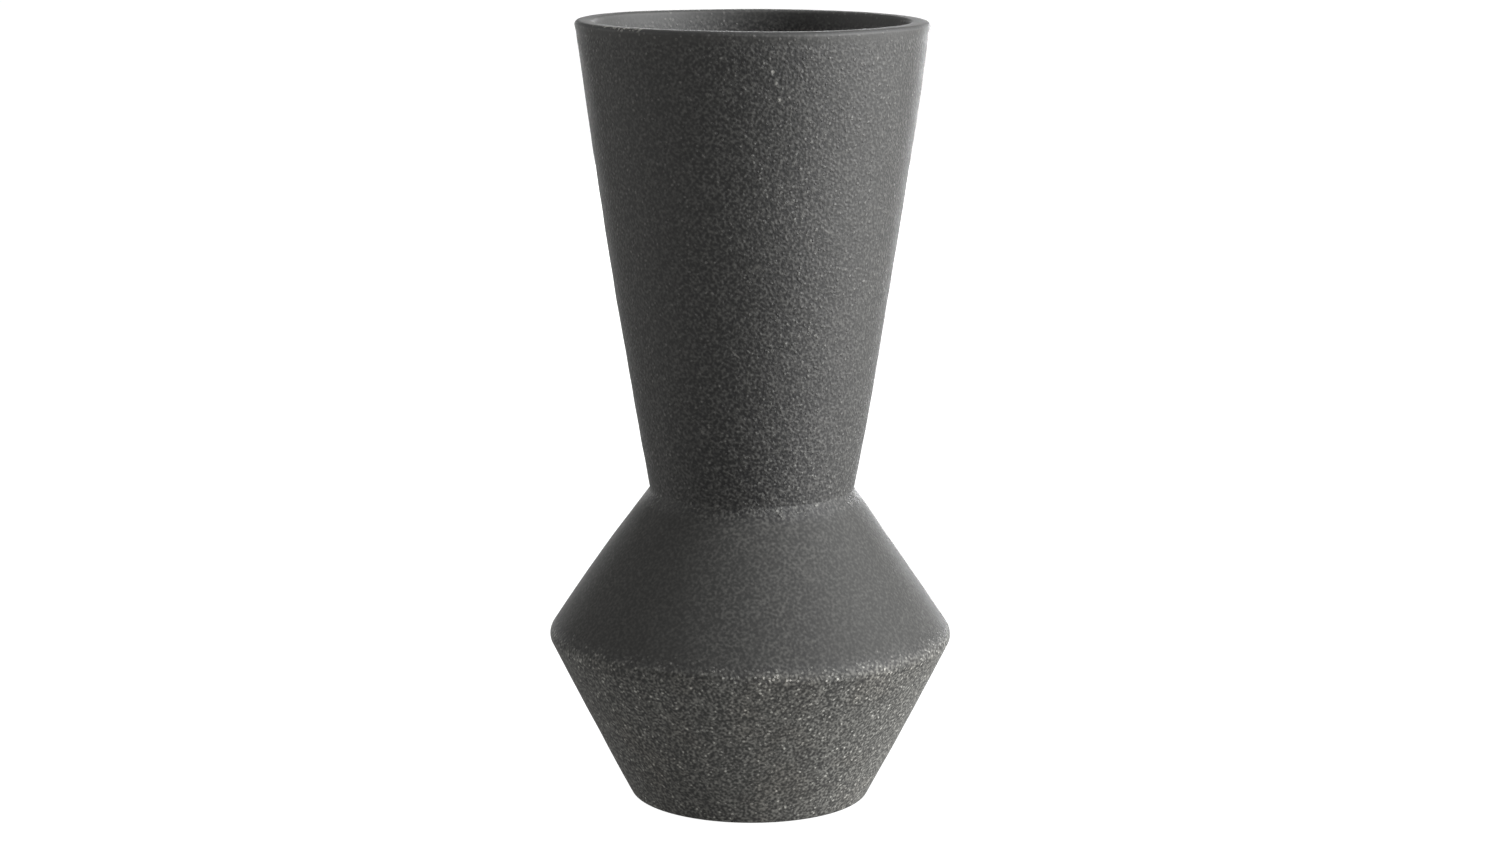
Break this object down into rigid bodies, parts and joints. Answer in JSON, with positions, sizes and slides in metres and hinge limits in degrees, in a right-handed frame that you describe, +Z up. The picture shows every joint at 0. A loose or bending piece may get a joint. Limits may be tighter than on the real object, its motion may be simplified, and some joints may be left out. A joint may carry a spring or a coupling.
{
  "type": "vase",
  "caption": "Tall flared-neck vase on a sharp-ridged double cone, in dark unglazed stoneware with a glazed inside, for holding stems.",
  "frame": {"origin": "centre of the foot ring, on the surface that the vase stands on", "axes": "+Z up along the vase's axis of revolution; X and Y level"},
  "size_m": [0.1706, 0.1706, 0.33],
  "materials": {
    "speckled_stoneware": "matte, fine pale speckle",
    "burnished_stoneware": "smooth satin, faint speckle",
    "coarse_stoneware": "rough matte, dense pale grog",
    "slip": "matte",
    "glaze": "satin dark glaze"
  },
  "bodies": {
    "root": {"neck": "speckled_stoneware", "shoulder": "burnished_stoneware", "lower_body": "coarse_stoneware", "base_slab": "coarse_stoneware", "waist_slip": "slip", "ridge_slip": "slip", "base_slip": "slip", "ridge_coil": "coarse_stoneware", "base_coil": "coarse_stoneware", "glaze_lining": "glaze"}
  },
  "joints": []
}
